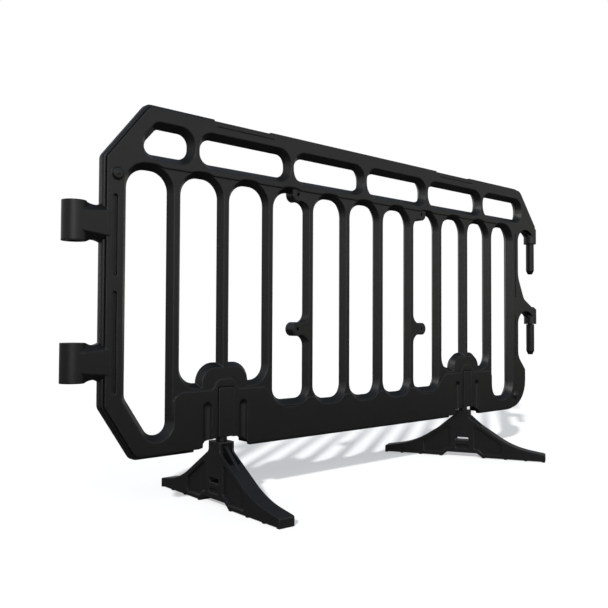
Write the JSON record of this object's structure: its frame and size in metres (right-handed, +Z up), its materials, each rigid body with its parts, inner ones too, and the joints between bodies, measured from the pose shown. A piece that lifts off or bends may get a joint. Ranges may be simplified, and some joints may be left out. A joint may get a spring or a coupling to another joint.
{
  "type": "pedestrian barrier panel",
  "caption": "Black moulded pedestrian barrier panel with upright slots, lifting windows, sockets and hook pins for its neighbours, on two swivelling feet.",
  "frame": {"origin": "on the ground, under the middle of the whole length and on the panel's mid-plane", "axes": "+X along the panel from the sockets to the hooks, -Y the front in the picture, +Z up"},
  "size_m": [1.974, 0.5634, 1.005],
  "materials": {
    "moulded_plastic": "satin black moulded polyethylene with a fine grain",
    "dark_steel": "black coated steel pin",
    "nylon": "black moulded nylon",
    "zinc_steel": "zinc plated steel"
  },
  "bodies": {
    "panel": {"panel": "moulded_plastic", "hook_pin_upper": "dark_steel", "hook_pin_lower": "dark_steel", "keeper_front_left": "nylon", "keeper_rear_left": "nylon", "keeper_front_right": "nylon", "keeper_rear_right": "nylon", "keeper_screw_left_1": "zinc_steel", "keeper_screw_left_2": "zinc_steel", "keeper_screw_left_3": "zinc_steel", "keeper_screw_left_4": "zinc_steel", "keeper_screw_right_1": "zinc_steel", "keeper_screw_right_2": "zinc_steel", "keeper_screw_right_3": "zinc_steel", "keeper_screw_right_4": "zinc_steel"},
    "left_foot": {"foot_left": "moulded_plastic", "pivot_pin_left": "dark_steel", "thrust_washer_left": "nylon", "retaining_ring_left": "zinc_steel"},
    "right_foot": {"foot_right": "moulded_plastic", "pivot_pin_right": "dark_steel", "thrust_washer_right": "nylon", "retaining_ring_right": "zinc_steel"}
  },
  "joints": [
    {"name": "left_swivel", "type": "hinge", "parent": "panel", "child": "left_foot", "pos_m": [-0.5485, 0, 0.17], "axis": [0, 0, 1], "range_deg": [-87.5, 92.5]},
    {"name": "right_swivel", "type": "hinge", "parent": "panel", "child": "right_foot", "pos_m": [0.5085, 0, 0.17], "axis": [0, 0, 1], "range_deg": [-117, 63]}
  ]
}
